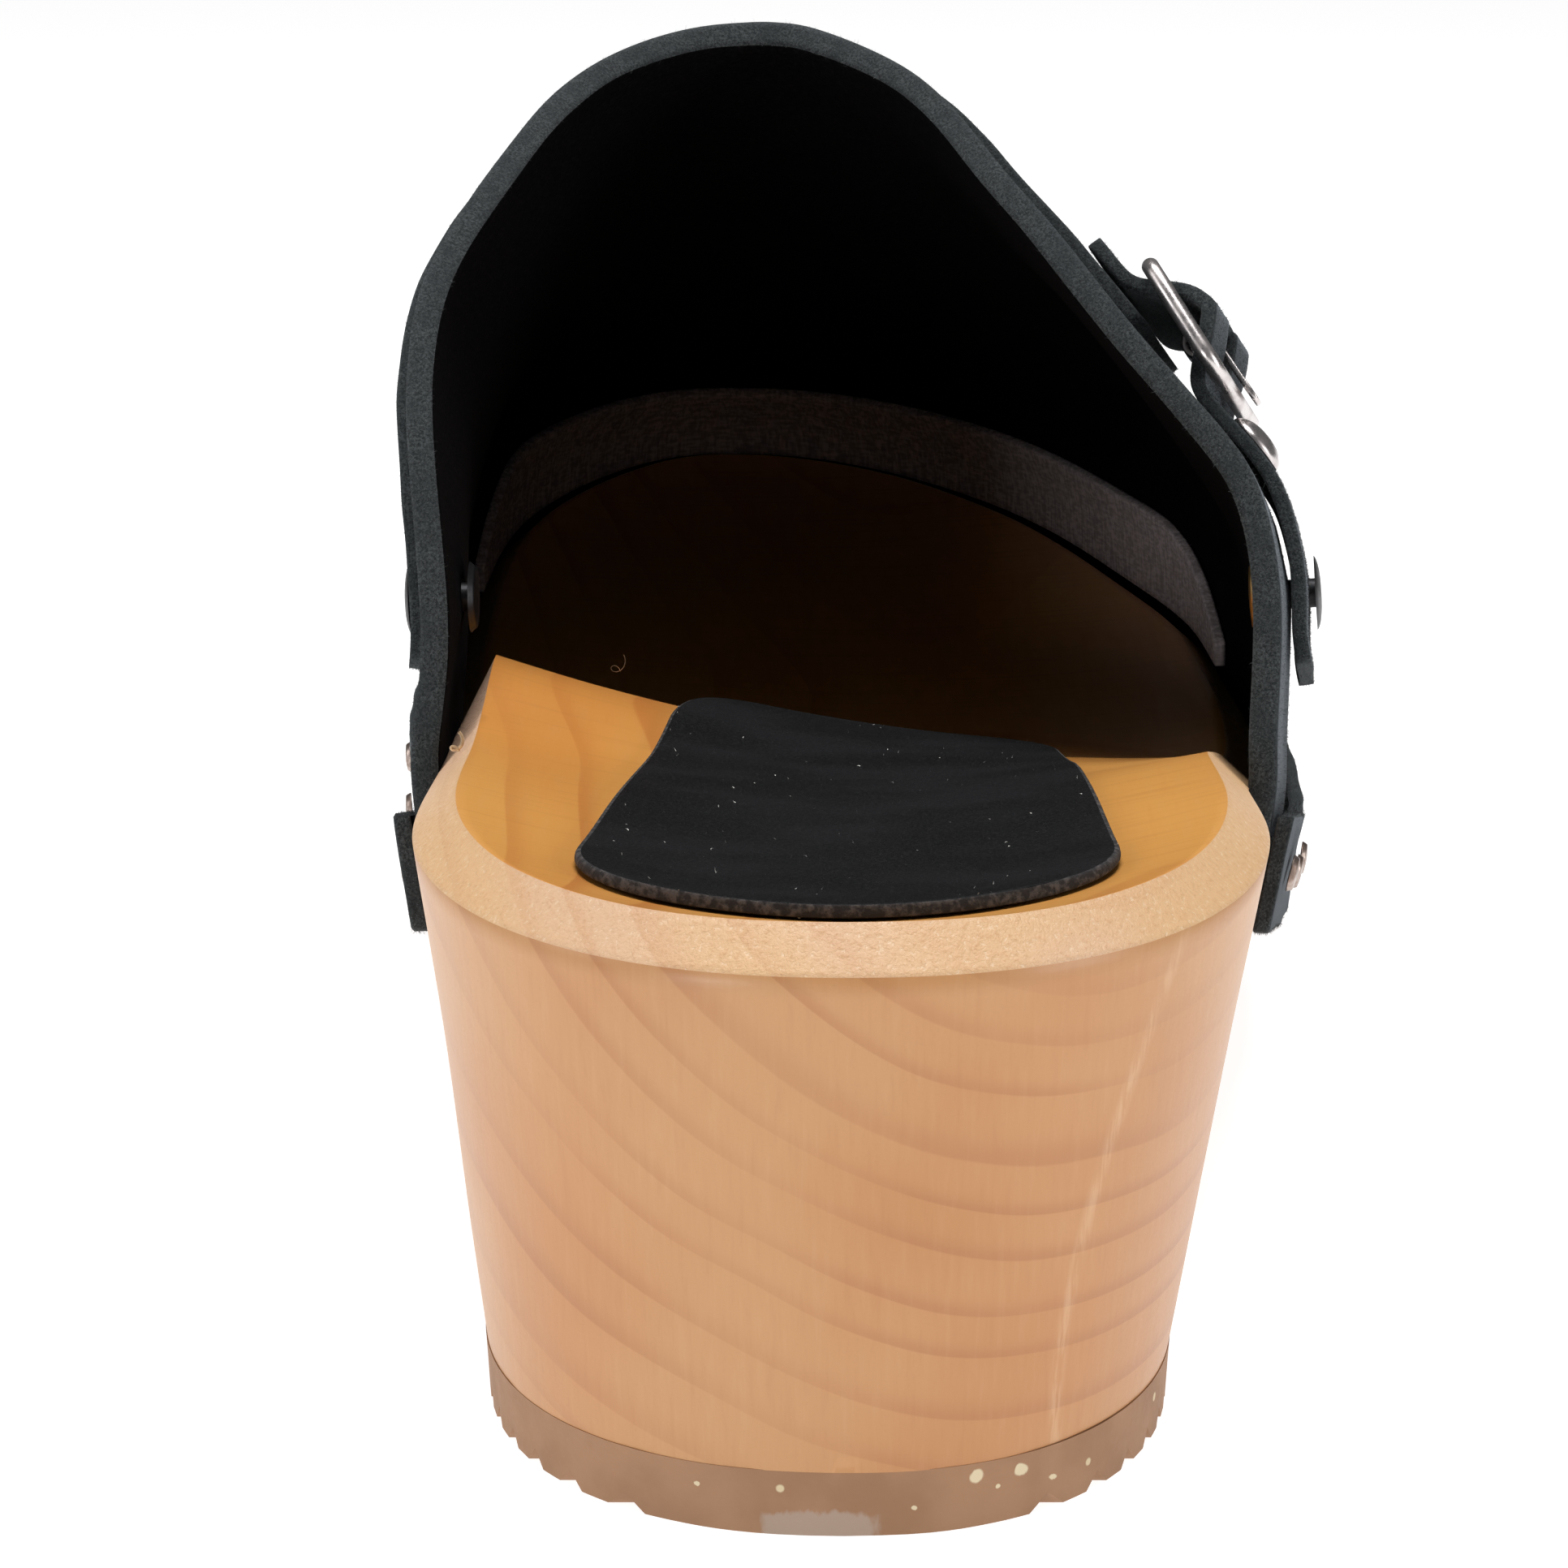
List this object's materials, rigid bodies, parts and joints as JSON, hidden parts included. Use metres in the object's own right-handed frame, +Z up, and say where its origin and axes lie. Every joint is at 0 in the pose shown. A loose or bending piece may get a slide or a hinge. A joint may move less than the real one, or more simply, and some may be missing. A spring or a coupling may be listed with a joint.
{
  "type": "clog",
  "caption": "Right wooden-soled clog with a black nubuck upper, open at the heel, nailed edge strip and a buckled instep strap.",
  "frame": {"origin": "on the floor, under the middle of the clog's box", "axes": "+Y along the foot towards the toe, +X towards the outer side of the foot, +Z up"},
  "size_m": [0.0982, 0.2492, 0.1053],
  "materials": {
    "wood": "satin",
    "rubber": "matte",
    "leather": "nubuck",
    "suede": "suede",
    "felt": "felted",
    "steel": "nickel plated",
    "brass": "satin"
  },
  "bodies": {
    "root": {"wooden_sole": "wood", "heel_tread": "rubber", "forepart_tread": "rubber", "upper": "leather", "edge_strip": "leather", "instep_strap": "leather", "buckle_strap": "leather", "buckle_frame": "steel", "buckle_prong": "steel", "strap_stud": "steel", "medial_rivet": "brass", "lateral_rivet": "brass", "heel_pad": "suede", "toe_band": "felt", "nail_01": "steel", "nail_02": "steel", "nail_03": "steel", "nail_04": "steel", "nail_05": "steel", "nail_06": "steel", "nail_07": "steel", "nail_08": "steel", "nail_09": "steel", "nail_10": "steel", "nail_11": "steel", "nail_12": "steel", "nail_13": "steel", "nail_14": "steel", "nail_15": "steel", "nail_16": "steel", "nail_17": "steel", "nail_18": "steel", "nail_19": "steel"}
  },
  "joints": []
}
